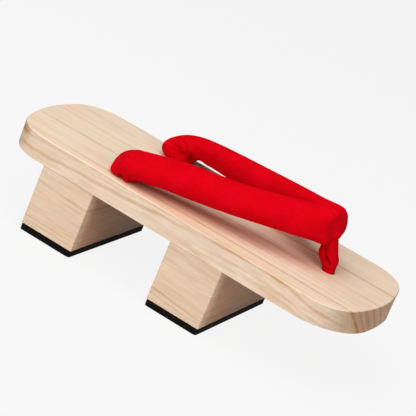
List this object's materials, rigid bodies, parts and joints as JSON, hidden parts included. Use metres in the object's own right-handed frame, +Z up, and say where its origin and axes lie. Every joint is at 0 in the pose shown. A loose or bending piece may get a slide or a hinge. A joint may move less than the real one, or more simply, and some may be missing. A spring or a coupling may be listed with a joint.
{
  "type": "geta sandal",
  "caption": "Flat wooden sandal raised on cross teeth with rubber treads, held on by padded cloth straps that meet at a toe loop, for either foot.",
  "frame": {"origin": "on the floor, under the middle of the board", "axes": "+X to the toe, +Y to the wearer's left, +Z up"},
  "size_m": [0.24, 0.094, 0.0935],
  "materials": {
    "wood": "bare planed wood, straight grain",
    "rubber": "matt black sheet",
    "cloth": "matt plain-woven cotton over soft filling"
  },
  "bodies": {
    "root": {"board": "wood", "front_tooth": "wood", "rear_tooth": "wood", "front_tread": "rubber", "rear_tread": "rubber", "thong_straps": "cloth", "toe_loop": "cloth"}
  },
  "joints": []
}
